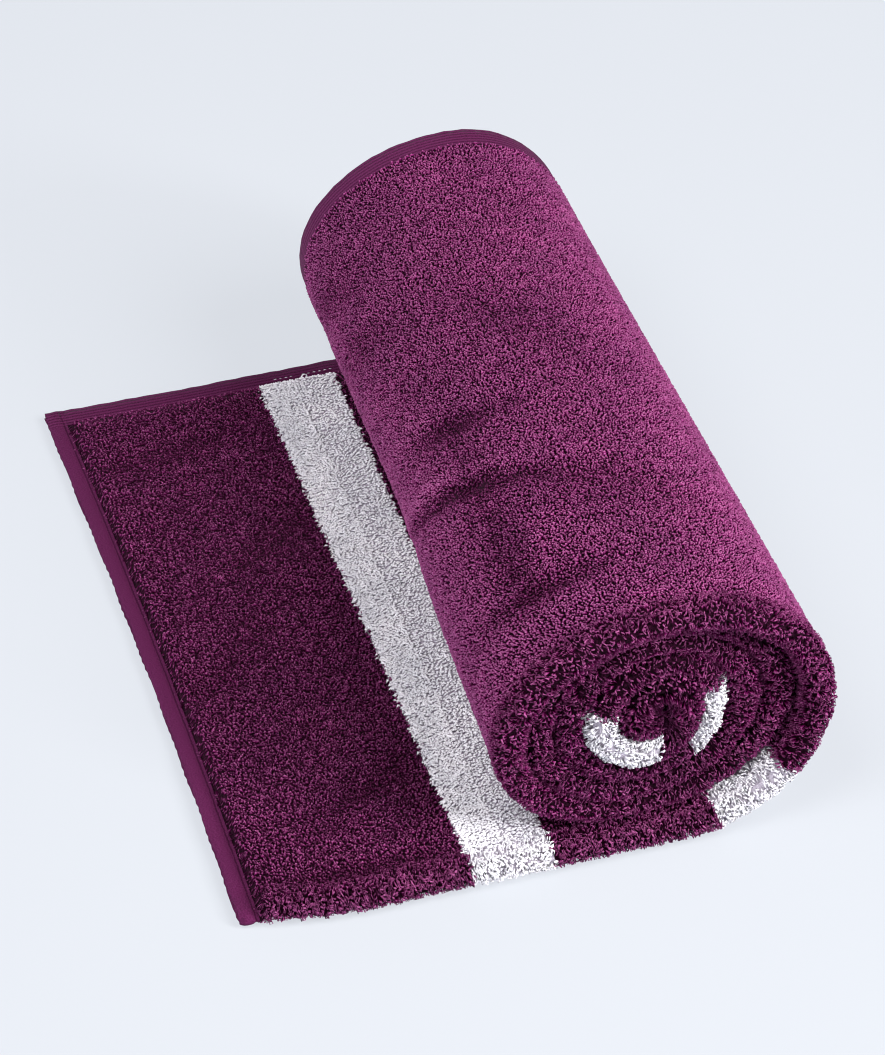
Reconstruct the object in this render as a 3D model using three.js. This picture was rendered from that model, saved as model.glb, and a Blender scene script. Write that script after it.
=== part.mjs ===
import * as THREE from 'three';

// A terry bath towel, folded once along its length and rolled up from one short end.
// The other end is left flat as a tail. It is one woven cloth, so it is one solid.
// Millimetres, Z up. X runs from the free hem to the roll, Y from the fold to the selvedges.

// the cloth
const foldedWidth = 350; // half of the 700 mm between the selvedges
const selvedgeBand = 12; // flat woven edge without loops
const hemBand = 8; // turned and sewn end
const bandSlope = 3; // where the pile rises from a flat band
const bandThickness = 0.5; // of the full thickness, for hems and selvedges
const hemPull = 0.03; // the sewn hem draws the cloth narrower by this share
const hemPullLength = 26;

// the two layers
const layerGap = 0.6;
const turnGap = 0.7;
const foldThickness = 11.6; // both layers at the fold, where the loops spread
const selvedgeThickness = 9.6; // both layers at the selvedges
const foldArc = 9.4; // cloth taken up by the fold itself

// the roll
const lastTurn = 4.8; // turns from the ground to the inner hem
const tailAtFold = 180.5; // hem to the line where the roll leaves the ground
const tailAtSelvedge = 186.9;
const farRadius = 66.2;
const farPitch = 10.2; // radius lost with each turn at the selvedge end
const farOval = 0.041;
const looseShift = 10; // inner turns stand back from the fold end
const looseShiftCore = 6;
const farShiftShare = 0.4;

// Outer radius of each turn at the fold end, a quarter turn apart, from the middle of the roll
const turns = [
  { bottom: 63, right: 70.5, top: 63, left: 73.5 },
  { bottom: 51, right: 56, top: 52.5, left: 59.5 },
  { bottom: 41, right: 41, top: 42, left: 46 },
  { bottom: 31, right: 26, top: 34, left: 33 },
  { bottom: 20.5, right: 13.8, top: 23, left: 18.5 },
];
const coreRadius = 9;

// Soft hollows and swells pressed into the roll by hand: angle from the ground, share of the width
const dents = [
  { share: 0.06, angle: 255, spread: 40, across: 0.53, reach: 0.17 },
  { share: -0.03, angle: 262, spread: 40, across: 1, reach: 0.14 },
  { share: -0.04, angle: 150, spread: 32, across: 1, reach: 0.12 },
  { share: 0.02, angle: 215, spread: 30, across: 0.42, reach: 0.1 },
];

// Stations of the mesh
const tailStations = [0, hemBand, hemBand + bandSlope, 26, 60, 100, 140];
const stationsPerTurn = 24;
const foldSteps = 8;
const acrossStations = [0, selvedgeBand, selvedgeBand + bandSlope, 80, 150, 220, 290];

const fullCircle = 2 * Math.PI;
const quarterRadii = turns.flatMap((row) => [row.bottom, row.right, row.top, row.left]);
const radiusLine = new THREE.SplineCurve(
  [...quarterRadii, coreRadius].map((radius, i) => new THREE.Vector2(i, radius)),
);

function bell(distance, reach) {
  return Math.exp(-((distance / reach) ** 2));
}

function dentAt(turn, across) {
  const angle = (turn * 360) % 360;
  return dents.reduce((sum, dent) => {
    return sum + dent.share * bell(angle - dent.angle, dent.spread) * bell(across - dent.across, dent.reach);
  }, 0);
}

// distance of the outer face from the middle of the roll
function outerRadius(turn, across) {
  const near = radiusLine.getPoint(Math.min(turn / turns.length, 1)).y;
  const oval = 1 - farOval * Math.cos(2 * fullCircle * turn);
  const far = (farRadius - farPitch * turn) * oval;
  return THREE.MathUtils.lerp(near, far, across) * (1 - dentAt(turn, across));
}

// both layers together, as thick as the next turn inside leaves room for
function clothThickness(turn, across) {
  const full = THREE.MathUtils.lerp(foldThickness, selvedgeThickness, across);
  if (turn + 1 > turns.length) {
    return Math.min(full, outerRadius(turn, across) - 2 * layerGap);
  }
  return Math.min(full, outerRadius(turn, across) - outerRadius(turn + 1, across) - turnGap);
}

// how far a turn stands back from the fold end
function shiftBack(turn, across) {
  const back = THREE.MathUtils.smoothstep(turn, 0.55, 1) * looseShift;
  const core = THREE.MathUtils.smoothstep(turn, 3, 4) * (looseShift - looseShiftCore);
  return (back - core) * THREE.MathUtils.lerp(1, farShiftShare, across);
}

function bandShare(fromSelvedge, fromHem) {
  const beside = THREE.MathUtils.smoothstep(fromSelvedge, selvedgeBand, selvedgeBand + bandSlope);
  const along = THREE.MathUtils.smoothstep(fromHem, hemBand, hemBand + bandSlope);
  return THREE.MathUtils.lerp(bandThickness, 1, Math.min(beside, along));
}

// one point of the cloth: side 1 is its outside, side -1 the inside between its two layers
function clothPoint(station, cut, side) {
  const turn = station.turn;
  const foldTurn = THREE.MathUtils.clamp(cut.fromFold / (foldArc / 2), -1, 1) * (Math.PI / 2);
  const straight = Math.max(Math.abs(cut.fromFold) - foldArc / 2, 0);
  const nearThickness = clothThickness(turn, 0);
  const reach = foldedWidth - nearThickness / 2;
  const along = (straight / (foldedWidth - foldArc / 2)) * reach;
  const across = along / reach;
  const thickness = clothThickness(turn, across);
  const layer = (thickness - layerGap) / 2;
  const faceRadius = layerGap / 2 + layer / 2 + (side * layer) / 2;
  const depth = (thickness / 2 + Math.sin(foldTurn) * faceRadius)
    * bandShare(foldedWidth - Math.abs(cut.fromFold), station.fromHem);
  const width = nearThickness / 2 + along - Math.cos(foldTurn) * faceRadius;
  const pulled = 1 - hemPull * bell(station.fromHem, hemPullLength);
  const y = foldedWidth / 2 + (width - foldedWidth / 2) * pulled + shiftBack(turn, across);
  const tail = THREE.MathUtils.lerp(tailAtFold, tailAtSelvedge, across);
  if (station.onTail) {
    return new THREE.Vector3((station.fromHem / tailAtFold) * tail, y, depth);
  }
  const radius = outerRadius(turn, across) - depth;
  const angle = fullCircle * turn;
  const height = outerRadius(0, across);
  return new THREE.Vector3(tail + radius * Math.sin(angle), y, height - radius * Math.cos(angle));
}

// positions along the cloth, from the free hem to the hem inside the roll
function alongTheCloth() {
  const stations = tailStations.map((fromHem) => ({ onTail: true, turn: 0, fromHem }));
  const count = Math.round(lastTurn * stationsPerTurn);
  for (let i = 0; i <= count; i += 1) {
    const turn = i / stationsPerTurn;
    const fromHem = (lastTurn - turn) * fullCircle * coreRadius;
    stations.push({ onTail: false, turn, fromHem: i === 0 ? tailAtFold : fromHem });
  }
  return stations;
}

// positions across the cloth, from one selvedge round the fold to the other
function acrossTheCloth() {
  const outside = acrossStations.map((fromSelvedge) => ({ fromFold: fromSelvedge - foldedWidth }));
  const fold = [];
  for (let i = 0; i <= foldSteps; i += 1) {
    fold.push({ fromFold: (i / foldSteps - 0.5) * foldArc });
  }
  const inside = outside.map((cut) => ({ fromFold: -cut.fromFold })).reverse();
  return [...outside, ...fold, ...inside];
}

function rolledCloth() {
  const stations = alongTheCloth();
  const cuts = acrossTheCloth();
  const lastStation = stations.length - 1;
  const lastCut = cuts.length - 1;
  const geometry = new THREE.BoxGeometry(1, 1, 1, lastCut, lastStation, 1);
  const points = geometry.attributes.position;
  for (let i = 0; i < points.count; i += 1) {
    const cut = cuts[Math.round((points.getX(i) + 0.5) * lastCut)];
    const station = stations[Math.round((points.getY(i) + 0.5) * lastStation)];
    const place = clothPoint(station, cut, points.getZ(i) > 0 ? -1 : 1);
    points.setXYZ(i, place.x, place.y, place.z);
  }
  geometry.computeBoundingBox();
  const middle = geometry.boundingBox.getCenter(new THREE.Vector3());
  geometry.translate(-middle.x, -middle.y, 0);
  geometry.computeVertexNormals();
  return geometry;
}

const terry = new THREE.MeshStandardMaterial({ color: '#6b2d5c', roughness: 0.95, metalness: 0 });

const towel = new THREE.Mesh(rolledCloth(), terry);
towel.name = 'towel';

const object = new THREE.Group();
object.name = 'rolled_bath_towel';
object.add(towel);

export default object;
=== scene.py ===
import math

import bpy
import numpy as np
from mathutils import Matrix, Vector


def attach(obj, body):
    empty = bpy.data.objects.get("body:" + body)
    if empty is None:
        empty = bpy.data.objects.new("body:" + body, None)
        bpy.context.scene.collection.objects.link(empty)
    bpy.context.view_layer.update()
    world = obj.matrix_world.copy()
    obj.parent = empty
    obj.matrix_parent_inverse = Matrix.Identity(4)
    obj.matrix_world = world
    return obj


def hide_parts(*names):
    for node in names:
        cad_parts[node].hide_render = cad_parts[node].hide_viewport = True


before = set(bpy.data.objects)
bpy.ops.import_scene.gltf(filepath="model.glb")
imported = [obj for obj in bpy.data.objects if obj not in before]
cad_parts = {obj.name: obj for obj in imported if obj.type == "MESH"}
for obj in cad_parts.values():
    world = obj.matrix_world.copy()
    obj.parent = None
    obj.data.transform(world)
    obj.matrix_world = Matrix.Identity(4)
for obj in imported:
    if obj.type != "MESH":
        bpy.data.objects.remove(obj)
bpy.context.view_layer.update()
print("stage: frame loaded")

millimetre = 0.001
fullCircle = 2 * math.pi
floorGap = 0.15  # how far the lowest yarn stays off the ground, in millimetres

# Camera first. Its numbers are in millimetres and degrees, in the towel's frame.
cameraSet = {
    "target": (26.48, 46.3, 0.0),
    "distance": 1799.9,
    "azimuth": -17.57,
    "elevation": 40.14,
    "focalPixels": 4000.0,
    "longSidePixels": 1055.0,
    "sensor": 36.0,
    "clip": (0.1, 20.0),
}


def addCamera(values):
    azimuth = math.radians(values["azimuth"])
    elevation = math.radians(values["elevation"])
    back = Vector((
        math.sin(azimuth) * math.cos(elevation),
        -math.cos(azimuth) * math.cos(elevation),
        math.sin(elevation),
    ))
    place = (Vector(values["target"]) + back * values["distance"]) * millimetre
    bpy.ops.object.camera_add(location=place)
    camera = bpy.context.object
    camera.name = "photoCamera"
    camera.rotation_mode = "QUATERNION"
    camera.rotation_quaternion = (-back).to_track_quat("-Z", "Y")
    camera.data.sensor_width = values["sensor"]
    camera.data.lens = values["focalPixels"] / values["longSidePixels"] * values["sensor"]
    camera.data.clip_start, camera.data.clip_end = values["clip"]
    bpy.context.scene.camera = camera


addCamera(cameraSet)
print("stage: camera placed")

# The rolled and folded form, in millimetres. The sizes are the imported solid's, apart from hemPull,
# hemShift and lastTurn. A place on the cloth is: along from the outer hem, fromFold (minus on the outer
# layer), rise off the middle of its layer.
rollForm = {
    "foldedWidth": 350.0,
    "selvedgeBand": 12.0,
    "hemBand": 8.0,
    "bandSlope": 3.0,
    "bandThickness": 0.5,
    "hemPull": 0.017,
    "hemShift": 3.9,
    "hemPullLength": 26.0,
    "layerGap": 0.6,
    "turnGap": 0.7,
    "foldThickness": 11.6,
    "selvedgeThickness": 9.6,
    "foldArc": 9.4,
    "lastTurn": 5.1,
    "tailAtFold": 180.5,
    "tailAtSelvedge": 186.9,
    "farRadius": 66.2,
    "farPitch": 10.2,
    "farOval": 0.041,
    "looseShift": 10.0,
    "looseShiftCore": 6.0,
    "looseTurns": (0.55, 1),  # where the inner turns begin to stand back from the fold end
    "looseCoreTurns": (3, 4),
    "farShiftShare": 0.4,
    "coreRadius": 9.0,
    "clothLength": 1300.0,
    "lengthSamples": 2401,
    "hollowEnd": 1.2,  # turns that the hollows of the roll reach
    "middle": (126.62, 177.0),
}

# outer radius at the fold end, a quarter turn apart: bottom, right, top, left
quarterRadii = np.array([
    63, 70.5, 63, 73.5,
    51, 56, 52.5, 59.5,
    41, 41, 42, 46,
    31, 26, 34, 33,
    20.5, 13.8, 23, 18.5,
    9,
])

# share, angle from the ground, its spread, place across, its reach
dents = np.array([
    (0.06, 255, 40, 0.53, 0.17),
    (-0.03, 262, 40, 1, 0.14),
    (-0.04, 150, 32, 1, 0.12),
    (0.02, 215, 30, 0.42, 0.1),
])


def mix(low, high, share):
    return low + (high - low) * share


def smoothStep(value, low, high):
    share = np.clip((value - low) / (high - low), 0, 1)
    return share * share * (3 - 2 * share)


def bell(distance, reach):
    return np.exp(-(distance / reach) ** 2)


def quarterRadius(turn):
    last = len(quarterRadii) - 1
    at = np.clip(turn * 4, 0, last)
    left = np.minimum(np.floor(at).astype(int), last - 1)
    share = at - left
    before = quarterRadii[np.maximum(left - 1, 0)]
    start = quarterRadii[left]
    end = quarterRadii[left + 1]
    after = quarterRadii[np.minimum(left + 2, last)]
    slopeIn = (end - before) / 2
    slopeOut = (after - start) / 2
    cubic = 2 * (start - end) + slopeIn + slopeOut
    square = 3 * (end - start) - 2 * slopeIn - slopeOut
    return cubic * share ** 3 + square * share ** 2 + slopeIn * share + start


def outerRadius(turn, across):
    form = rollForm
    oval = 1 - form["farOval"] * np.cos(2 * fullCircle * turn)
    far = (form["farRadius"] - form["farPitch"] * turn) * oval
    angle = (turn * 360) % 360
    dent = 0
    for share, dentAngle, spread, dentAcross, reach in dents:
        dent = dent + share * bell(angle - dentAngle, spread) * bell(across - dentAcross, reach)
    return mix(quarterRadius(turn), far, across) * (1 - dent)


def clothThickness(turn, across):
    form = rollForm
    full = mix(form["foldThickness"], form["selvedgeThickness"], across)
    room = outerRadius(turn, across) - outerRadius(turn + 1, across) - form["turnGap"]
    core = outerRadius(turn, across) - 2 * form["layerGap"]
    return np.minimum(full, np.where(turn + 1 > len(quarterRadii) // 4, core, room))


def shiftBack(turn, across):
    form = rollForm
    back = smoothStep(turn, *form["looseTurns"]) * form["looseShift"]
    core = smoothStep(turn, *form["looseCoreTurns"]) * (form["looseShift"] - form["looseShiftCore"])
    return (back - core) * mix(1, form["farShiftShare"], across)


def turnTable():
    form = rollForm
    turn = np.linspace(0, form["lastTurn"], form["lengthSamples"])
    radius = outerRadius(turn, 0.5) - clothThickness(turn, 0.5) / 2
    x = radius * np.sin(fullCircle * turn)
    z = radius * np.cos(fullCircle * turn)
    length = np.concatenate([[0], np.cumsum(np.hypot(np.diff(x), np.diff(z)))])
    rolled = form["clothLength"] - form["tailAtFold"]
    print("stage: rolled length of the middle line", round(length[-1], 1), "stands for", rolled)
    return form["tailAtFold"] + length / length[-1] * rolled, turn


alongTable, alongTurns = turnTable()


def turnAt(along):
    return np.interp(along, alongTable, alongTurns)


# Soft hollows left by the hands, on the outside of the roll: place round it from the ground line, place
# from the fold, heading (0 lies along the roll, 90 round it), half length, half width, depth
rollHollows = np.array([
    (270, 127, 64, 50, 5.2, 2.6),
    (280, 141, 64, 44, 6.5, -1.3),
    (262, 165, 72, 26, 6, 2.3),
    (268, 180, 72, 26, 7, -0.7),
    (254, 46, 84, 28, 5.4, 2.2),
    (263, 62, 8, 20, 7, 1.1),
    (262, 30, 84, 26, 7, -0.7),
    (300, 300, 62, 30, 11, 1.3),
    (292, 255, 62, 26, 10, 1.1),
    (262, 112, 2, 66, 10, 1.2),
    (205, 90, 70, 40, 14, 0.9),
    (215, 210, 40, 40, 14, 0.9),
])

# The same on the flat tail: place along, place from the fold, heading, half length, half width, depth
tailHollows = np.array([
    (50, 16, 90, 46, 4.2, 1.9),
    (70, 62, 62, 34, 7, 1.2),
    (32, 150, 40, 40, 9, 1.0),
    (80, 230, 55, 40, 9, 1.0),
    (45, 300, 80, 40, 8, 0.9),
])

# how the hem and the selvedges leave the straight line
edgeSet = {
    "farReach": 1.9,
    "hemBow": 2.0,
    "hemBowDepth": 70.0,
    "wave": 0.4,
    "waveDepth": 6.0,
    "waveSlow": (6.1, 13.7),
    "waveFast": 5.3,
    "waveStretch": 0.8,
    "waveApart": 50,  # the waves of the two layers don't match
}


def edgeWave(run):
    first, second = edgeSet["waveSlow"]
    slow = np.sin(run / first + 1.3) + 0.7 * np.sin(run / second)
    return edgeSet["wave"] * (0.6 * np.sin(fullCircle * run / edgeSet["waveFast"] + slow) + 0.5 * slow)


def hollowAt(run, across, rows):
    depth = 0
    for place, side, heading, halfLength, halfWidth, deep in rows:
        turn = math.radians(heading)
        lengthwise = (across - side) * math.cos(turn) + (run - place) * math.sin(turn)
        sideways = (run - place) * math.cos(turn) - (across - side) * math.sin(turn)
        depth = depth + deep * bell(lengthwise, halfLength) * bell(sideways, halfWidth)
    return depth


def bandShare(fromSelvedge, fromHem):
    form = rollForm
    beside = smoothStep(fromSelvedge, form["selvedgeBand"], form["selvedgeBand"] + form["bandSlope"])
    atHem = smoothStep(fromHem, form["hemBand"], form["hemBand"] + form["bandSlope"])
    return mix(form["bandThickness"], 1, np.minimum(beside, atHem))


def layerHalf(along, fromFold):
    form = rollForm
    half = form["foldArc"] / 2
    across = np.maximum(np.abs(fromFold) - half, 0) / (form["foldedWidth"] - half)
    return (clothThickness(turnAt(along), across) - form["layerGap"]) / 4


# how deep a place of the cloth lies in the hollows
def hollowOn(along, fromFold):
    form = rollForm
    turn = turnAt(along)
    side = np.abs(fromFold)
    onRoll = hollowAt(turn * fullCircle * form["farRadius"], side, rollHollows)
    onRoll = onRoll * (fromFold < 0) * (turn < form["hollowEnd"])
    onTail = hollowAt(along, side, tailHollows) * (fromFold > 0)
    return np.where(along <= form["tailAtFold"], onTail, onRoll)


# a place on the cloth to a place in the frame, in metres
def clothPlace(along, fromFold, rise):
    form = rollForm
    turn = turnAt(along)
    fold = np.clip(fromFold / (form["foldArc"] / 2), -1, 1) * math.pi / 2
    straight = np.maximum(np.abs(fromFold) - form["foldArc"] / 2, 0)
    nearThickness = clothThickness(turn, 0 * turn)
    across = straight / (form["foldedWidth"] - form["foldArc"] / 2)
    lengthAcross = across * (form["foldedWidth"] - nearThickness / 2)
    thickness = clothThickness(turn, across)
    layer = (thickness - form["layerGap"]) / 2
    faceRadius = form["layerGap"] / 2 + layer / 2 + rise
    onTail = along <= form["tailAtFold"]
    fromHem = np.where(onTail, along, (form["lastTurn"] - turn) * fullCircle * form["coreRadius"])
    share = bandShare(form["foldedWidth"] - np.abs(fromFold), fromHem)
    depth = (thickness / 2 + np.sin(fold) * faceRadius) * share
    width = nearThickness / 2 + lengthAcross - np.cos(fold) * faceRadius
    pulled = 1 - form["hemPull"] * bell(fromHem, form["hemPullLength"])
    half = form["foldedWidth"] / 2
    y = half + (width - half) * pulled + shiftBack(turn, across) + edgeSet["farReach"] * across ** 2
    y = y + form["hemShift"] * bell(fromHem, form["hemPullLength"])
    fromSelvedge = form["foldedWidth"] - np.abs(fromFold)
    run = along * edgeSet["waveStretch"] + fromFold / edgeSet["waveApart"]
    y = y + edgeWave(run) * bell(fromSelvedge, edgeSet["waveDepth"])
    tail = mix(form["tailAtFold"], form["tailAtSelvedge"], across)

    # the hollows press the outer face of the roll, and the upper face of the tail
    inner = np.clip(depth / thickness, 0, 1)
    wayRound = turn * fullCircle * form["farRadius"]
    rollPress = hollowAt(wayRound, width, rollHollows) * (1 - inner) * (turn < form["hollowEnd"])
    tailPress = hollowAt(along, width, tailHollows) * inner * onTail
    depth = depth + np.where(onTail, -tailPress, rollPress)

    radius = outerRadius(turn, across) - depth
    angle = fullCircle * turn
    height = outerRadius(0 * turn, across)
    bow = edgeSet["hemBow"] * np.sin(math.pi * across) * bell(fromHem, edgeSet["hemBowDepth"])
    bow = bow + edgeWave(fromFold) * bell(fromHem, edgeSet["waveDepth"])
    x = np.where(onTail, along / form["tailAtFold"] * tail + bow, tail + radius * np.sin(angle))
    z = np.maximum(np.where(onTail, depth, height - radius * np.cos(angle)), floorGap)
    return np.stack([x - form["middle"][0], y - form["middle"][1], z], -1) * millimetre


# Stripes, measured from each hem
stripeSet = {
    "outer": ((96.0, 131.0), (203.0, 238.0)),
    "inner": ((93.0, 131.0), (190.0, 229.0)),
}


def onStripe(along):
    fromInner = rollForm["clothLength"] - along
    hit = np.zeros(np.shape(along), bool)
    for low, high in stripeSet["outer"]:
        hit |= (along > low) & (along < high)
    for low, high in stripeSet["inner"]:
        hit |= (fromInner > low) & (fromInner < high)
    return hit


# Materials

def newMaterial(name):
    material = bpy.data.materials.new(name)
    material.use_nodes = True
    tree = material.node_tree
    shader = tree.nodes["Principled BSDF"]
    return material, tree, shader


def addNode(tree, kind, **inputs):
    node = tree.nodes.new(kind)
    for key, value in inputs.items():
        node.inputs[key].default_value = value
    return node


def mathNode(tree, operation, first, second=None):
    node = tree.nodes.new("ShaderNodeMath")
    node.operation = operation
    for slot, value in enumerate((first, second)):
        if value is None:
            continue
        if isinstance(value, (int, float)):
            node.inputs[slot].default_value = value
        else:
            tree.links.new(value, node.inputs[slot])
    return node.outputs[0]


def colourRamp(tree, value, stops):
    ramp = tree.nodes.new("ShaderNodeValToRGB")
    tree.links.new(value, ramp.inputs["Fac"])
    while len(ramp.color_ramp.elements) < len(stops):
        ramp.color_ramp.elements.new(0.5)
    for element, (place, colour) in zip(ramp.color_ramp.elements, stops):
        element.position = place
        element.color = (*colour, 1)
    return ramp.outputs["Color"]


def multiplyColour(tree, first, second):
    node = tree.nodes.new("ShaderNodeMix")
    node.data_type = "RGBA"
    node.blend_type = "MULTIPLY"
    node.inputs["Factor"].default_value = 1
    tree.links.new(first, node.inputs[6])
    tree.links.new(second, node.inputs[7])
    return node.outputs[2]


# the patches and fibres that both yarns share
yarnSet = {
    "rampAt": (0.16, 0.7, 1.0),
    "patchScale": 38.0,
    "patchAt": (0.3, 0.7),
    "patchDark": (0.86, 0.86, 0.88),
    "patchLight": (1.1, 1.08, 1.08),
    "fibreScale": 2600.0,
    "fibreStrength": 0.35,
    "fibreDepth": 0.0002,
    "sheenRoughness": 0.4,
}

# deep is painted shade low in the pile, tip a paler painted highlight on the loop tops
plumYarn = {
    "deep": (0.016, 0.0, 0.008),
    "middle": (0.15, 0.0058, 0.083),
    "tip": (0.275, 0.07, 0.185),
    "darkLoop": (0.36, 0.28, 0.34),
    "lightLoop": (1.6, 1.95, 1.65),
    "sheen": 0.0,
    "sheenTint": (0.9, 0.5, 0.8, 1),
    "specular": 0.02,
    "roughness": 0.7,
}

# deep is painted shade low in the pile, tip a slight painted highlight on the loop tops
creamYarn = {
    "deep": (0.70, 0.65, 0.73),
    "middle": (0.94, 0.92, 0.965),
    "tip": (0.955, 0.94, 0.975),
    "darkLoop": (0.88, 0.87, 0.89),
    "lightLoop": (1.03, 1.03, 1.03),
    "sheen": 0.28,
    "sheenTint": (1, 1, 1, 1),
    "specular": 0.2,
    "roughness": 0.8,
}


# looped yarn: painted shade down in the pile and a paler painted highlight on the loop tips, each loop its
# own tone, soft patches over the cloth
def pileMaterial(name, yarn):
    material, tree, shader = newMaterial(name)
    attribute = tree.nodes.new("ShaderNodeAttribute")
    attribute.attribute_name = "yarn"
    parts = tree.nodes.new("ShaderNodeSeparateColor")
    tree.links.new(attribute.outputs["Color"], parts.inputs["Color"])
    height, tone = parts.outputs[0], parts.outputs[1]
    # the ramp paints shade low in the pile and a highlight on the loop tips
    baseStops = list(zip(yarnSet["rampAt"], (yarn["deep"], yarn["middle"], yarn["tip"])))
    base = colourRamp(tree, height, baseStops)
    loopTone = colourRamp(tree, tone, ((0.0, yarn["darkLoop"]), (0.5, (1, 1, 1)), (1.0, yarn["lightLoop"])))
    place = tree.nodes.new("ShaderNodeTexCoord")
    patch = addNode(tree, "ShaderNodeTexNoise", Scale=yarnSet["patchScale"], Detail=3.0, Roughness=0.6)
    tree.links.new(place.outputs["Object"], patch.inputs["Vector"])
    patchStops = list(zip(yarnSet["patchAt"], (yarnSet["patchDark"], yarnSet["patchLight"])))
    patchTone = colourRamp(tree, patch.outputs["Fac"], patchStops)
    colour = multiplyColour(tree, multiplyColour(tree, base, loopTone), patchTone)
    tree.links.new(colour, shader.inputs["Base Color"])
    fibre = addNode(tree, "ShaderNodeTexNoise", Scale=yarnSet["fibreScale"], Detail=2.0, Roughness=0.7)
    tree.links.new(place.outputs["Object"], fibre.inputs["Vector"])
    bump = addNode(tree, "ShaderNodeBump", Strength=yarnSet["fibreStrength"], Distance=yarnSet["fibreDepth"])
    tree.links.new(fibre.outputs["Fac"], bump.inputs["Height"])
    tree.links.new(bump.outputs["Normal"], shader.inputs["Normal"])
    shader.inputs["Roughness"].default_value = yarn["roughness"]
    shader.inputs["Specular IOR Level"].default_value = yarn["specular"]
    shader.inputs["Sheen Weight"].default_value = yarn["sheen"]
    shader.inputs["Sheen Roughness"].default_value = yarnSet["sheenRoughness"]
    shader.inputs["Sheen Tint"].default_value = yarn["sheenTint"]
    return material


clothColours = {
    "bandDark": (0.035, 0.003, 0.02),
    "band": (0.085, 0.009, 0.052),
    "bandLight": (0.125, 0.018, 0.08),
    # ground is near black as painted shade between the loops, creamGround greyer than the cream yarn as
    # painted shade too
    "ground": (0.007, 0.0, 0.0035),
    "groundLight": (0.03, 0.0015, 0.016),
    "creamGround": (0.60, 0.54, 0.63),
    "sheenTint": (0.95, 0.6, 0.85, 1),
}

weaveSet = {
    "checkScale": 1200.0,
    "canvasScale": 1500.0,
    "strandScale": 900.0,
    "strandAt": (0.42, 0.62),
    "bandAt": (0.2, 0.45, 0.75),
    # ribShade and seamShade paint shade in the rib grooves and the stitch groove
    "ribShade": -0.2,
    "seamShade": 0.25,
    "seamHalf": 0.35,  # millimetres
    "bumpStrength": 0.8,
    "bumpDepth": 0.0003,
    "roughness": 0.85,
    "specular": 0.08,
    "sheen": 0.05,
    "sheenRoughness": 0.4,
}
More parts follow.
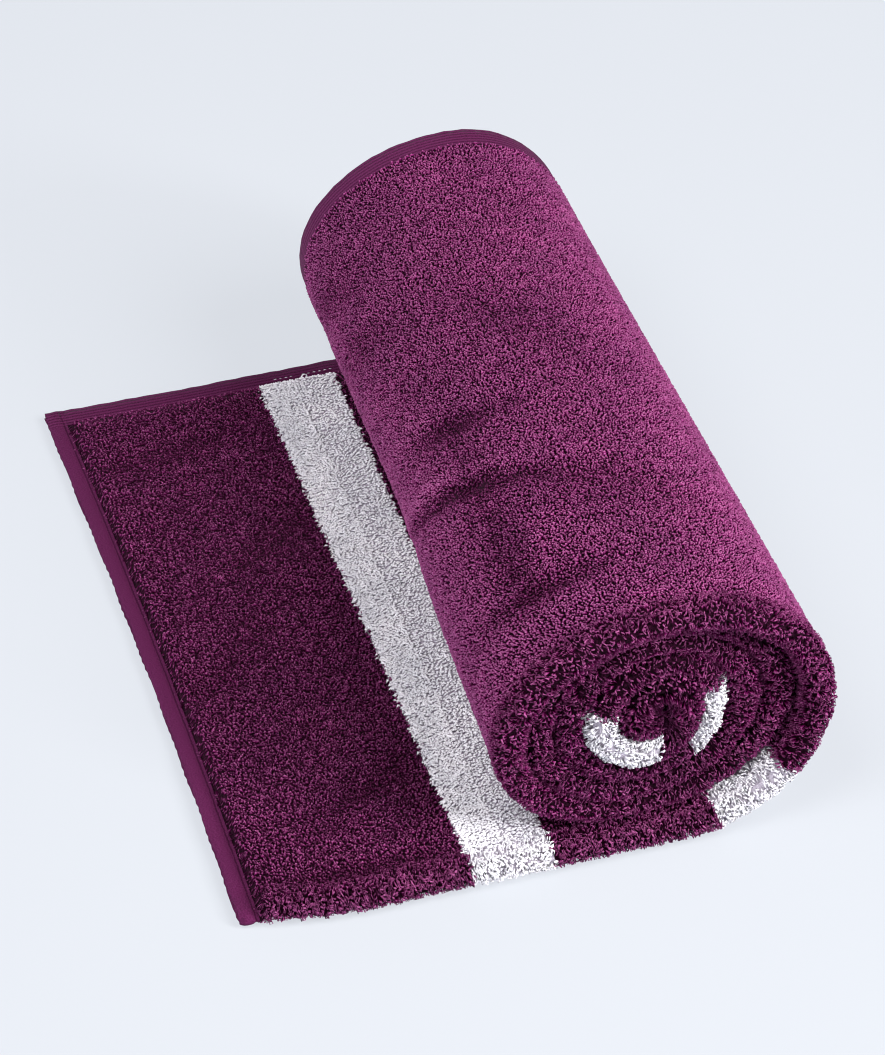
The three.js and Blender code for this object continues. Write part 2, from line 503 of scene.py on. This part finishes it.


# the woven cloth: flat bands in plum, a near-black ground under the loops as painted shade between them, the
# stripes in cream on a greyer ground, painted shade too
def clothMaterial(name, colours):
    material, tree, shader = newMaterial(name)
    pattern = tree.nodes.new("ShaderNodeUVMap")
    pattern.uv_map = "cloth"
    axes = tree.nodes.new("ShaderNodeSeparateXYZ")
    tree.links.new(pattern.outputs["UV"], axes.inputs[0])
    fromFold, along = axes.outputs[0], axes.outputs[1]
    whole = rollForm["clothLength"]
    stripes = None
    rows = list(stripeSet["outer"]) + [(whole - high, whole - low) for low, high in stripeSet["inner"]]
    for low, high in rows:
        centre = (low + high) / 2 * millimetre
        half = (high - low) / 2 * millimetre
        inside = mathNode(tree, "COMPARE", along, centre)
        inside.node.inputs[2].default_value = half
        stripes = inside if stripes is None else mathNode(tree, "MAXIMUM", stripes, inside)
    distance = mathNode(tree, "ABSOLUTE", fromFold)
    edge = (rollForm["foldedWidth"] - rollForm["selvedgeBand"]) * millimetre
    onSelvedge = mathNode(tree, "GREATER_THAN", distance, edge)
    nearHem = mathNode(tree, "LESS_THAN", along, rollForm["hemBand"] * millimetre)
    farHem = mathNode(tree, "GREATER_THAN", along, (whole - rollForm["hemBand"]) * millimetre)
    band = mathNode(tree, "MAXIMUM", onSelvedge, mathNode(tree, "MAXIMUM", nearHem, farHem))

    weave = addNode(tree, "ShaderNodeTexChecker", Scale=weaveSet["checkScale"])
    tree.links.new(pattern.outputs["UV"], weave.inputs["Vector"])
    canvas = addNode(tree, "ShaderNodeTexNoise", Scale=weaveSet["canvasScale"], Detail=2.0, Roughness=0.6)
    tree.links.new(pattern.outputs["UV"], canvas.inputs["Vector"])
    fullTurn = fullCircle / (clothSet["ribPitch"] * millimetre)
    inward = mathNode(tree, "MULTIPLY_ADD", distance, -fullTurn)
    inward.node.inputs[2].default_value = rollForm["foldedWidth"] * millimetre * fullTurn
    rib = mathNode(tree, "MULTIPLY", mathNode(tree, "COSINE", inward), onSelvedge)
    seam = mathNode(tree, "COMPARE", along, clothSet["stitchAt"] * millimetre)
    seam.node.inputs[2].default_value = weaveSet["seamHalf"] * millimetre
    # painted shade: darker in the selvedge's rib grooves and along the hem's stitch groove
    shade = mathNode(tree, "MULTIPLY_ADD", rib, weaveSet["ribShade"])
    tree.links.new(canvas.outputs["Fac"], shade.node.inputs[2])
    shade = mathNode(tree, "SUBTRACT", shade, mathNode(tree, "MULTIPLY", seam, weaveSet["seamShade"]))
    bandStops = zip(weaveSet["bandAt"], (colours["bandDark"], colours["band"], colours["bandLight"]))
    bandColour = colourRamp(tree, shade, list(bandStops))
    groundMix = tree.nodes.new("ShaderNodeMix")
    groundMix.data_type = "RGBA"
    strands = addNode(tree, "ShaderNodeTexNoise", Scale=weaveSet["strandScale"], Detail=3.0, Roughness=0.6)
    tree.links.new(pattern.outputs["UV"], strands.inputs["Vector"])
    # painted shade in the pits between the loops, with lighter strands
    groundStops = zip(weaveSet["strandAt"], (colours["ground"], colours["groundLight"]))
    ground = colourRamp(tree, strands.outputs["Fac"], list(groundStops))
    tree.links.new(ground, groundMix.inputs[6])
    groundMix.inputs[7].default_value = (*colours["creamGround"], 1)
    tree.links.new(stripes, groundMix.inputs["Factor"])
    fullMix = tree.nodes.new("ShaderNodeMix")
    fullMix.data_type = "RGBA"
    tree.links.new(band, fullMix.inputs["Factor"])
    tree.links.new(groundMix.outputs[2], fullMix.inputs[6])
    tree.links.new(bandColour, fullMix.inputs[7])
    tree.links.new(fullMix.outputs[2], shader.inputs["Base Color"])
    height = mathNode(tree, "ADD", weave.outputs["Fac"], canvas.outputs["Fac"])
    bump = addNode(tree, "ShaderNodeBump", Strength=weaveSet["bumpStrength"], Distance=weaveSet["bumpDepth"])
    tree.links.new(height, bump.inputs["Height"])
    tree.links.new(bump.outputs["Normal"], shader.inputs["Normal"])
    shader.inputs["Roughness"].default_value = weaveSet["roughness"]
    shader.inputs["Specular IOR Level"].default_value = weaveSet["specular"]
    shader.inputs["Sheen Weight"].default_value = weaveSet["sheen"]
    shader.inputs["Sheen Roughness"].default_value = weaveSet["sheenRoughness"]
    shader.inputs["Sheen Tint"].default_value = colours["sheenTint"]
    return material


def newPiece(name, points, faces, material):
    mesh = bpy.data.meshes.new(name)
    corners = faces.shape[1]
    mesh.vertices.add(len(points))
    mesh.vertices.foreach_set("co", points.astype(np.float32).ravel())
    mesh.loops.add(faces.size)
    mesh.loops.foreach_set("vertex_index", faces.astype(np.int32).ravel())
    mesh.polygons.add(len(faces))
    mesh.polygons.foreach_set("loop_start", np.arange(0, faces.size, corners, dtype=np.int32))
    mesh.update(calc_edges=True)
    mesh.shade_smooth()
    mesh.materials.append(material)
    piece = bpy.data.objects.new(name, mesh)
    bpy.context.scene.collection.objects.link(piece)
    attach(piece, "root")
    return piece


def setMap(piece, name, corners):
    layer = piece.data.uv_layers.new(name=name)
    layer.data.foreach_set("uv", corners.astype(np.float32).ravel())


# The woven cloth itself, a thin closed sheet that runs from hem to hem and round the fold. The outer hem
# and the two selvedges that show lie over it as finer strips.
clothSet = {
    "half": 0.5,  # half its thickness
    "selvedgeHalf": 0.6,
    "ribPitch": 2.0,
    "ribHeight": 0.16,
    "hemHalf": 0.75,
    "hemRound": 0.75,
    "stitchGroove": 0.7,
    "stitchAt": 6.6,
    "stitchWidth": 0.5,
    "stripLift": 0.12,
    "edgeRound": (0.8, 1.2),  # how near the edge a selvedge and a hem thin out
    "edgeLeast": 0.12,
    "selvedgeEnds": (11.3, 12.6),
    "hemEnds": (7.6, 8.6),
    "stepOuter": 7.0,
    "stepCore": 4.5,
    "hemSteps": (1.0, 4.0, 7.0, 8.6, 11.0, 14.0),
    "bandSteps": (1.2, 5.0, 9.0, 11.3, 12.6, 15.5),
    "flatSteps": (24, 45, 75, 110, 145, 158, 168, 176, 184, 192, 200, 208, 216, 224, 232, 240,
                  250, 260, 270, 280, 288, 296, 304, 312, 319, 325, 329, 333, 336.5, 340),
    "foldSteps": 10,
}

outerHem = {
    "along": (0, 0.3, 0.9, 1.9, 3.2, 4.5, 5.5, 6.1, 6.6, 7.1, 7.8, 8.6),
    "acrossStep": 2.6,
}

outerSelvedge = {
    "across": (0, 0.35, 1, 1.5, 2, 2.5, 3, 3.5, 4, 4.5, 5, 5.5, 6, 6.5, 7, 7.5, 8, 8.5, 9, 9.5, 10,
               10.7, 11.6, 12.6),
    "alongStart": 8.6,
    "alongStep": 4.2,
    "end": 605.0,
}


def clothHalf(along, fromFold):
    values = clothSet
    fromSelvedge = rollForm["foldedWidth"] - np.abs(fromFold)
    fromHem = np.minimum(along, rollForm["clothLength"] - along)
    onSelvedge = 1 - smoothStep(fromSelvedge, *values["selvedgeEnds"])
    onHem = 1 - smoothStep(fromHem, *values["hemEnds"])
    ribs = values["ribHeight"] * np.cos(fullCircle * fromSelvedge / values["ribPitch"]) * onSelvedge
    half = mix(values["half"], values["selvedgeHalf"], onSelvedge) - ribs
    rounded = values["hemRound"] * np.sin(math.pi * np.clip(fromHem / values["stitchAt"], 0, 1))
    half = mix(half, values["hemHalf"] + rounded, onHem)
    half = half - values["stitchGroove"] * bell(fromHem - values["stitchAt"], values["stitchWidth"]) * onHem
    beside, atHem = values["edgeRound"]
    edge = np.minimum(fromSelvedge / beside, fromHem / atHem)
    least = values["edgeLeast"]
    return half * np.sqrt(np.clip(mix(least, 1, edge), least, 1))


# one closed strip over a grid of places on the cloth
def clothStrip(name, along, across, lift):
    alongGrid, acrossGrid = np.meshgrid(along, across, indexing="ij")
    thick = clothHalf(alongGrid, acrossGrid) + lift
    upper = clothPlace(alongGrid, acrossGrid, thick)
    lower = clothPlace(alongGrid, acrossGrid, -thick)
    rows, columns = alongGrid.shape
    count = rows * columns
    index = np.arange(count).reshape(rows, columns)
    quads = np.stack([index[:-1, :-1], index[1:, :-1], index[1:, 1:], index[:-1, 1:]], -1).reshape(-1, 4)
    rim = np.concatenate([index[0, :-1], index[:-1, -1], index[-1, :0:-1], index[:0:-1, 0]])
    rimNext = np.roll(rim, -1)
    walls = np.stack([rim, rimNext, rimNext + count, rim + count], -1)
    faces = np.concatenate([quads, quads[:, ::-1] + count, walls])
    points = np.concatenate([upper.reshape(-1, 3), lower.reshape(-1, 3)])
    piece = newPiece(name, points, faces, plumCloth)

    pattern = np.stack([acrossGrid, alongGrid], -1).reshape(-1, 2) * millimetre
    pattern = np.concatenate([pattern, pattern])
    setMap(piece, "cloth", pattern[faces])

    # the bake map: upper face, lower face, and the rim in a narrow column on the right
    shareAcross = (acrossGrid - across[0]) / (across[-1] - across[0])
    shareAlong = (alongGrid - along[0]) / (along[-1] - along[0])
    flat = np.stack([0.01 + 0.46 * shareAcross, 0.02 + 0.96 * shareAlong], -1).reshape(-1, 2)
    wallCount = len(walls)
    place = np.arange(wallCount)
    wallLow = 0.02 + 0.96 * place / wallCount
    wallHigh = 0.02 + 0.96 * (place + 1) / wallCount
    left, right = np.full(wallCount, 0.972), np.full(wallCount, 0.99)
    corners = ((left, wallLow), (left, wallHigh), (right, wallHigh), (right, wallLow))
    wallMap = np.stack([np.stack(corner, -1) for corner in corners], 1)
    bakeMap = np.concatenate([flat[quads], flat[quads[:, ::-1]] + (0.48, 0), wallMap])
    setMap(piece, "OFBake", bakeMap)
    print("stage:", name, len(faces) * 2, "triangles")
    return piece


def wovenCloth():
    values = clothSet
    length = rollForm["clothLength"]
    inside = [values["hemSteps"][-1]]
    while inside[-1] < length - values["hemSteps"][-1] - values["stepCore"]:
        inside.append(inside[-1] + mix(values["stepOuter"], values["stepCore"], inside[-1] / length))
    ends = [length - step for step in reversed(values["hemSteps"])]
    along = np.concatenate([values["hemSteps"], inside[1:-1], ends])
    half = rollForm["foldArc"] / 2
    fold = np.linspace(-half, half, values["foldSteps"] + 1)
    side = rollForm["foldedWidth"] - np.array(values["bandSteps"] + values["flatSteps"])
    across = np.concatenate([-side, fold, side[::-1]])
    return clothStrip("woven_cloth", along, across, 0)


def clothStrips():
    lift = clothSet["stripLift"]
    width = rollForm["foldedWidth"]
    columns = np.append(np.arange(-width, width, outerHem["acrossStep"]), width)
    strips = [clothStrip("outer_hem", np.array(outerHem["along"]), columns, lift)]
    rows = np.arange(outerSelvedge["alongStart"], outerSelvedge["end"], outerSelvedge["alongStep"])
    side = width - np.array(outerSelvedge["across"])
    strips.append(clothStrip("selvedge_out", rows, -side, lift))
    strips.append(clothStrip("selvedge_in", rows, side[::-1], lift))
    return strips


plumPile = pileMaterial("plumPile", plumYarn)
creamPile = pileMaterial("creamPile", creamYarn)
plumCloth = clothMaterial("plumCloth", clothColours)
print("stage: materials made")

cloth = wovenCloth()
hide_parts("towel")
strips = clothStrips()
print("stage: woven cloth done")


# Pile. A loop is a closed little yarn arch with its two ends in the cloth. With one ring it is a grain of
# four faces, and a longer one has rings of three points.
def loopFaces(rings):
    if rings == 1:
        return np.array([(0, 1, 2), (3, 2, 1), (0, 3, 1), (0, 2, 3)])
    faces = []
    last = 1 + 3 * rings
    for side in range(3):
        after = (side + 1) % 3
        faces.append((0, 1 + after, 1 + side))
        for ring in range(rings - 1):
            base = 1 + 3 * ring
            faces.append((base + side, base + after, base + 3 + side))
            faces.append((base + after, base + 3 + after, base + 3 + side))
        base = 1 + 3 * (rings - 1)
        faces.append((base + side, base + after, last))
    return np.array(faces)


# where a loop's faces lie in its own cell of the bake map, the same order as loopFaces
def loopMap(rings):
    if rings == 1:
        left = ((0.02, 0.02), (0.47, 0.02), (0.02, 0.47))
        right = ((0.98, 0.47), (0.53, 0.47), (0.98, 0.02))
        low = ((0.02, 0.53), (0.47, 0.53), (0.02, 0.98))
        high = ((0.98, 0.98), (0.53, 0.98), (0.98, 0.53))
        return np.array([left, right, low, high])
    corners = []
    rows = rings + 1
    for side in range(3):
        left, right = (side + 0.06) / 3, (side + 0.94) / 3
        middle = (left + right) / 2
        corners.append(((middle, 0.02), (right, 1 / rows), (left, 1 / rows)))
        for ring in range(rings - 1):
            low, high = (ring + 1) / rows, (ring + 2) / rows
            corners.append(((left, low), (right, low), (left, high)))
            corners.append(((right, low), (right, high), (left, high)))
        corners.append(((left, rings / rows), (right, rings / rows), (middle, 0.98)))
    return np.array(corners)


# soft uneven waves over the cloth, about as long as size
driftSet = {
    "waves": 7,
    "waveSpread": (0.6, 1.7),
    "clumpSeed": 5,
    "flowSeeds": (6, 7),
}


def drift(along, fromFold, size, seed):
    rng = np.random.default_rng(seed)
    total = 0
    for _ in range(driftSet["waves"]):
        turn = rng.uniform(0, fullCircle)
        wave = rng.uniform(*driftSet["waveSpread"]) / size
        phase = rng.uniform(0, fullCircle)
        way = along * math.cos(turn) + fromFold * math.sin(turn)
        total = total + np.sin(fullCircle * wave * way + phase)
    return total / driftSet["waves"] ** 0.5


# places of the loops: a staggered grid, each place moved a little
def spreadRoots(alongRange, foldRange, pitch, jitter, seed):
    rng = np.random.default_rng(seed)
    along = np.arange(alongRange[0], alongRange[1], pitch[0])
    across = np.arange(foldRange[0], foldRange[1], pitch[1])
    grid = np.stack(np.meshgrid(along, across, indexing="ij"), -1)
    grid[1::2, :, 1] += pitch[1] / 2
    roots = grid.reshape(-1, 2)
    roots = roots + rng.uniform(-jitter, jitter, roots.shape) * np.array(pitch)
    return roots


# how much one loop differs from the next
loopVary = {
    "length": (0.75, 1.25),
    "width": (0.8, 1.2),
    "lean": (0.2, 1),
}


# one joined mesh of loops that stand on the cloth
def makePile(name, roots, shape, material, seed):
    rng = np.random.default_rng(seed)
    count = len(roots)
    profile = np.array(shape["profile"])
    steps, arch = profile[:, 0], profile[:, 1]
    rings = len(profile) - 2
    along, fromFold = roots[:, 0], roots[:, 1]
    clump = drift(along, fromFold, shape["clumpSize"], driftSet["clumpSeed"])
    headingSpread = math.radians(shape["headingSpread"])
    heading = math.radians(shape["heading"]) + rng.uniform(-1, 1, count) * headingSpread
    length = shape["length"] * rng.uniform(*loopVary["length"], count)
    width = shape["width"] * rng.uniform(*loopVary["width"], count)
    bend = shape["bend"] * rng.uniform(-1, 1, count)
    leanTurn = rng.uniform(0, fullCircle, count)
    lean = shape["lean"] * rng.uniform(*loopVary["lean"], count)
    top = layerHalf(along, fromFold) * shape["top"] * rng.uniform(1 - shape["topSpread"], 1, count)
    top = top * (1 + shape["clump"] * clump)
    top = top * loopReach(along, fromFold, shape["sideGrow"], shape["coreGrow"])
    above = clothPlace(along, fromFold, np.full(count, shape["root"]))[:, 2] / millimetre
    top = top * mix(pileFields["floorShare"], 1, smoothStep(above, *pileFields["floorReach"]))

    ahead = np.stack([np.cos(heading), np.sin(heading)], -1)
    aside = np.stack([-np.sin(heading), np.cos(heading)], -1)
    leanWay = np.stack([np.cos(leanTurn), np.sin(leanTurn)], -1) * lean[:, None]
    drifts = [drift(along, fromFold, shape["flowSize"], flowSeed) for flowSeed in driftSet["flowSeeds"]]
    leanWay = leanWay + np.stack(drifts, -1) * shape["flow"]
    reach = pileFields["edgeReach"]
    besideHem = bell(np.maximum(along - pileFields["hemStart"], 0), reach)
    selvedge = rollForm["foldedWidth"] - pileFields["selvedgeStart"]
    beside = bell(np.maximum(selvedge - np.abs(fromFold), 0), reach) * np.sign(fromFold)
    leanWay = leanWay + np.stack([-besideHem, beside], -1) * shape["edgeLean"]
    flat = roots[:, None, :] + ahead[:, None, :] * (steps[None, :] * length[:, None])[..., None]
    flat = flat + aside[:, None, :] * (arch[None, :] * bend[:, None])[..., None]
    flat = flat + leanWay[:, None, :] * arch[None, :, None]
    rise = shape["root"] + arch[None, :] * (top - shape["root"])[:, None]
    line = np.concatenate([flat, rise[..., None]], -1)

    forward = line[:, 2:] - line[:, :-2]
    forward = forward / np.linalg.norm(forward, axis=-1, keepdims=True)
    sideways = np.concatenate([aside, np.zeros((count, 1))], -1)[:, None, :]
    sideways = sideways - forward * np.sum(forward * sideways, -1, keepdims=True)
    sideways = sideways / np.linalg.norm(sideways, axis=-1, keepdims=True)
    upward = np.cross(forward, sideways)
    middle = line[:, 1:-1]
    half = (width / 2)[:, None, None]
    thick = half * shape["flatness"]
    if rings == 1:
        sides = [middle - sideways * half, middle + sideways * half]
    else:
        low = upward * thick * 0.5
        sides = [middle + upward * thick, middle - sideways * half - low, middle + sideways * half - low]
    ring = np.stack(sides, 2).reshape(count, rings * len(sides), 3)
    local = np.concatenate([line[:, :1], ring, line[:, -1:]], 1)
    points = clothPlace(local[..., 0].ravel(), local[..., 1].ravel(), local[..., 2].ravel())

    pattern = loopFaces(rings)
    perLoop = local.shape[1]
    faces = (pattern[None] + np.arange(count)[:, None, None] * perLoop).reshape(-1, 3)
    piece = newPiece(name, points, faces, material)

    tone = rng.normal(shape["tone"], shape["toneSpread"], count) + clump * shape["clumpTone"]
    # painted shade: loops in the hollows are darker, loops over the swells lighter
    tone = np.repeat(np.clip(tone - shape["hollowShadeTone"] * hollowOn(along, fromFold), 0, 1), perLoop)
    height = np.clip(local[..., 2].ravel() / np.repeat(top, perLoop), 0, 1)
    yarn = np.stack([height, tone, np.zeros_like(tone), np.ones_like(tone)], -1)
    layer = piece.data.attributes.new("yarn", "FLOAT_COLOR", "POINT")
    layer.data.foreach_set("color", yarn.astype(np.float32).ravel())

    side = math.ceil(math.sqrt(count))
    cell = np.arange(count)
    corner = np.stack([cell % side, cell // side], -1)[:, None, None, :]
    bakeMap = (corner + 0.05 + loopMap(rings)[None] * 0.9) / side
    setMap(piece, "OFBake", bakeMap.reshape(-1, 2))
    print("stage:", name, count, "loops", len(faces), "triangles")


# where loops reach further, in turns of the roll and millimetres from the fold
reachSet = {
    "underLastTurn": (0.95, 1.1),
    "offGround": (0.06, 0.2),
    "besideFold": (1.5, 6.5),
    "core": (4.1, 4.5),
}


# loops reach further where two turns meet at the fold, and in the core
def loopReach(along, fromFold, sideGrow, coreGrow):
    turn = turnAt(along)
    inside = np.where(fromFold > 0, 1, smoothStep(turn, *reachSet["underLastTurn"]))
    inside = inside * smoothStep(turn, *reachSet["offGround"])
    side = smoothStep(np.abs(fromFold), *reachSet["besideFold"]) * inside
    core = smoothStep(turn, *reachSet["core"])
    return 1 + sideGrow * side + coreGrow * core


# one loop as seen from its side: place along its length, share of its height
grainLine = ((-0.5, 0.4), (0, 1), (0.5, 0.4))
hairpinLine = ((-0.25, 0), (-0.5, 0.9), (0.5, 0.9), (0.25, 0))

# the loops on the outside of the roll
rollPile = {
    "profile": grainLine,
    "length": 1.95,
    "width": 0.6,
    "flatness": 0.95,
    "top": 1.0,
    "topSpread": 0.22,
    "root": 0.35,
    "bend": 0.5,
    "lean": 0.5,
    "heading": 0,
    "headingSpread": 180,
    "flow": 0.25,
    "flowSize": 12,
    "clump": 0.05,
    "clumpSize": 8,
    "clumpTone": 0.08,
    "tone": 0.6,
    "toneSpread": 0.2,
    # painted shade in the hollows, painted light over the swells
    "hollowShadeTone": 0.24,
    "edgeLean": 1.3,
    "sideGrow": 0,
    "coreGrow": 0,
}

# the loops on the top of the tail, thinner and more open, with a lower tone than the roll's loops: painted
# shade over the tail
tailPile = dict(rollPile, width=0.56, lean=0.8, toneSpread=0.27, topSpread=0.45, clump=0.08, tone=0.28)

# the cream stripe lies combed along the towel
stripePile = dict(tailPile, length=2.6, width=0.88, headingSpread=40, lean=0.5, topSpread=0.2, tone=0.55)

# the fold: whole loops that stand out like hairpins, with a lower tone than the roll's loops: painted shade
# on the fold end
foldPile = {
    "profile": hairpinLine,
    "length": 0.92,
    "width": 0.42,
    "flatness": 0.95,
    "top": 1.4,
    "topSpread": 0.3,
    "root": 0.35,
    "bend": 0.3,
    "lean": 1.1,
    "heading": 0,
    "headingSpread": 180,
    "flow": 0.9,
    "flowSize": 9,
    "clump": 0.08,
    "clumpSize": 7,
    "clumpTone": 0.06,
    "tone": 0.34,
    "toneSpread": 0.25,
    "hollowShadeTone": 0.24,
    "edgeLean": 1.3,
    "sideGrow": 0.45,
    "coreGrow": 0.7,
}

foldStripePile = dict(foldPile, width=0.5, length=1.0, lean=0.9, top=1.45, flow=1.0, tone=0.5)

# where the pile stands, and how close: millimetres, and turns of the roll
pileFields = {
    "finePitch": (1.02, 1.05),
    "coarsePitch": (1.28, 1.32),
    "foldPitch": (1.08, 1.08),
    "jitter": 0.32,
    "foldOuter": -13.0,
    "foldInner": 14.0,
    "foldCore": 8.0,
    "selvedgeStart": 12.3,
    "hemStart": 8.6,
    "coreEnd": 0.8,
    "tailShows": 112.0,
    "tailEnd": 168.0,
    "rollFine": (0.2, 0.44, 0.68, 0.92),
    "rollEnd": 1.02,
    "foldLift": 0.1,
    "foldFloor": -4.2,
    "foldRound": 4.7,
    "foldTurn": 1.04,
    "floorShare": 0.42,  # loops next to the ground are this short
    "floorReach": (2.5, 5.5),
    "edgeReach": 2.2,  # how far in from a band the loops lean over it
    "ragged": 1.8,
    "stripeRagged": 1.2,
    "raggedSeed": 77,
}


# the loops of one colour, with uneven edges beside the stripes and the bands
def sortLoops(roots, cream):
    rng = np.random.default_rng(pileFields["raggedSeed"])
    spread = pileFields["stripeRagged"]
    hit = onStripe(roots[:, 0] + rng.uniform(-spread, spread, len(roots)))
    ragged = rng.uniform(0, 1, len(roots)) ** 3 * pileFields["ragged"]
    past = roots[:, 0] > pileFields["hemStart"] + ragged
    past = past & (np.abs(roots[:, 1]) < rollForm["foldedWidth"] - pileFields["selvedgeStart"] - ragged)
    return roots[(hit == cream) & past]


def alongAt(turn):
    return float(np.interp(turn, alongTurns, alongTable))


def addPlum(name, roots, shape, seed):
    makePile(name, sortLoops(roots, False), shape, plumPile, seed)


def addCream(name, roots, shape, seed):
    makePile(name, sortLoops(roots, True), shape, creamPile, seed)


# the last number of each call is the seed of its random draws
def makeAllPile():
    fields = pileFields
    jitter, fine, coarse = fields["jitter"], fields["finePitch"], fields["coarsePitch"]
    width = rollForm["foldedWidth"] - fields["selvedgeStart"]
    outside = (-width, fields["foldOuter"])
    inside = (fields["foldInner"], width)
    turns = fields["rollFine"]
    for number in range(3):
        span = (alongAt(turns[number]), alongAt(turns[number + 1]))
        roots = spreadRoots(span, outside, fine, jitter, 10 + number)
        addPlum("roll_pile_" + "abc"[number], roots, rollPile, 20 + number)
    under = spreadRoots((rollForm["tailAtFold"], alongAt(turns[0])), outside, coarse, jitter, 13)
    over = spreadRoots((alongAt(turns[3]), alongAt(fields["rollEnd"])), outside, coarse, jitter, 14)
    roots = np.concatenate([under, over])
    addPlum("roll_pile_under", roots, rollPile, 23)
    addCream("roll_stripe_pile", roots, stripePile, 30)
    shown = spreadRoots((fields["hemStart"], fields["tailShows"]), inside, fine, jitter, 40)
    behind = spreadRoots((fields["tailShows"], fields["tailEnd"]), inside, coarse, jitter, 41)
    roots = np.concatenate([shown, behind])
    addPlum("tail_pile", roots, tailPile, 42)
    addCream("tail_stripe_pile", roots, stripePile, 43)

    lift, half = alongAt(fields["foldLift"]), alongAt(fields["foldTurn"])
    core = fields["foldCore"]
    spans = (
        (fields["hemStart"], lift, fields["foldFloor"], fields["foldInner"]),
        (lift, half, fields["foldOuter"], fields["foldInner"]),
        (half, rollForm["clothLength"] - fields["coreEnd"], -core, core),
    )
    pitch = fields["foldPitch"]
    for number, (start, end, outer, inner) in enumerate(spans):
        roots = spreadRoots((start, end), (outer, inner), pitch, jitter, 50 + number)
        if number == 0:  # twice as close on the edge of the tail
            more = spreadRoots((start, end), (outer, fields["foldRound"]), pitch, jitter, 54)
            roots = np.concatenate([roots, more])
        letter = "abc"[number]
        addPlum("fold_pile_" + letter, roots, foldPile, 60 + number)
        addCream("fold_stripe_pile_" + letter, roots, foldStripePile, 70 + number)


# white stitches that show at the selvedge of the tail, and one pulled loop of the stripe beside them
stitchSet = {
    "places": (105.8, 108.3, 110.9, 113.2, 119.0, 121.5, 124.1, 126.7, 129.2, 131.8),
    "fromSelvedge": 6.6,
    "loopAt": (118.3, 10.9),
}

stitchGrain = dict(
    stripePile, length=1.6, width=0.8, top=0.66, topSpread=0.05, root=0.9, headingSpread=6,
    lean=0, flow=0, clump=0, bend=0, edgeLean=0,
)

pulledLine = (
    (-0.1, 0), (-0.42, 0.4), (-0.5, 0.7), (-0.25, 0.96), (0.1, 1), (0.42, 0.85),
    (0.5, 0.55), (0.3, 0.25), (0.1, 0),
)

pulledLoop = dict(
    foldStripePile, profile=pulledLine, length=3.4, width=0.7, top=4.4, topSpread=0,
    heading=15, headingSpread=0, lean=0, flow=0, clump=0, bend=0, edgeLean=1.0,
)


def makeStitches():
    width = rollForm["foldedWidth"]
    roots = np.array([(place, width - stitchSet["fromSelvedge"]) for place in stitchSet["places"]])
    makePile("edge_stitches", roots, stitchGrain, creamPile, 80)
    place, inward = stitchSet["loopAt"]
    makePile("pulled_loop", np.array([(place, width - inward)]), pulledLoop, creamPile, 81)


makeAllPile()
makeStitches()

# The sheet is one bath towel, 70 by 130 cm

# Floor and light
studioSet = {
    "floorSize": 8.0,
    "floorDrop": 0.0004,
    "floorRoughness": 0.9,
    "floorGloss": 0.1,
    "floorColour": (0.14, 0.145, 0.155, 1),
    "floorGlow": (0.89, 0.93, 1.0, 1),
    "floorGlowStrength": 0.665,
    "world": (0.90, 0.94, 1.0, 1),
    "wallLight": 1.95,
    "roofLight": 0.0,
    "roofFrom": 0.55,
    "leftLight": 1.1,
    "pixelWidth": 1.1,
}

# soft lights: distance, heading from the x axis, height over the ground in degrees, size, power
lightRows = [
    (2.2, -47.0, 27.0, 0.4, 27.5),
    (2.2, -47.0, 45.0, 1.2, 47.0),
    (2.2, -150.0, 60.0, 1.2, 34.0),
]


def addFloor(values):
    bpy.ops.object.select_all(action="DESELECT")
    bpy.ops.mesh.primitive_plane_add(size=values["floorSize"], location=(0, 0, -values["floorDrop"]))
    floor = bpy.context.object
    floor.name = "studio_floor"
    material, tree, shader = newMaterial("paperFloor")
    shader.inputs["Base Color"].default_value = values["floorColour"]
    shader.inputs["Roughness"].default_value = values["floorRoughness"]
    shader.inputs["Specular IOR Level"].default_value = values["floorGloss"]
    shader.inputs["Emission Color"].default_value = values["floorGlow"]
    shader.inputs["Emission Strength"].default_value = values["floorGlowStrength"]
    floor.data.materials.append(material)


def addSoftLight(number, distance, heading, height, size, power):
    heading, height = math.radians(heading), math.radians(height)
    flat = math.cos(height)
    way = Vector((math.cos(heading) * flat, math.sin(heading) * flat, math.sin(height)))
    bpy.ops.object.light_add(type="AREA", location=way * distance)
    light = bpy.context.object
    light.name = "softLight" + str(number)
    light.data.shape = "DISK"
    light.data.size = size
    light.data.energy = power
    light.rotation_mode = "QUATERNION"
    light.rotation_quaternion = way.to_track_quat("Z", "Y")


# soft white walls all round: brighter near the ground than overhead, and on the left
def addWorld(values):
    world = bpy.data.worlds.new("studioAir")
    world.use_nodes = True
    tree = world.node_tree
    place = tree.nodes.new("ShaderNodeTexCoord")
    axes = tree.nodes.new("ShaderNodeSeparateXYZ")
    tree.links.new(place.outputs["Generated"], axes.inputs[0])
    stops = ((0.0, [values["wallLight"]] * 3), (values["roofFrom"], [values["roofLight"]] * 3))
    high = colourRamp(tree, axes.outputs[2], stops)
    leftward = mathNode(tree, "MULTIPLY_ADD", axes.outputs[0], -values["leftLight"])
    leftward.node.inputs[2].default_value = 1
    strength = mathNode(tree, "MULTIPLY", high, leftward)
    background = tree.nodes["Background"]
    background.inputs["Color"].default_value = values["world"]
    tree.links.new(strength, background.inputs["Strength"])
    bpy.context.scene.world = world


addFloor(studioSet)
for number, row in enumerate(lightRows):
    addSoftLight(number, *row)
addWorld(studioSet)
bpy.context.scene.view_settings.view_transform = "Standard"
bpy.context.scene.cycles.filter_width = studioSet["pixelWidth"]
print("stage: floor and lights placed")
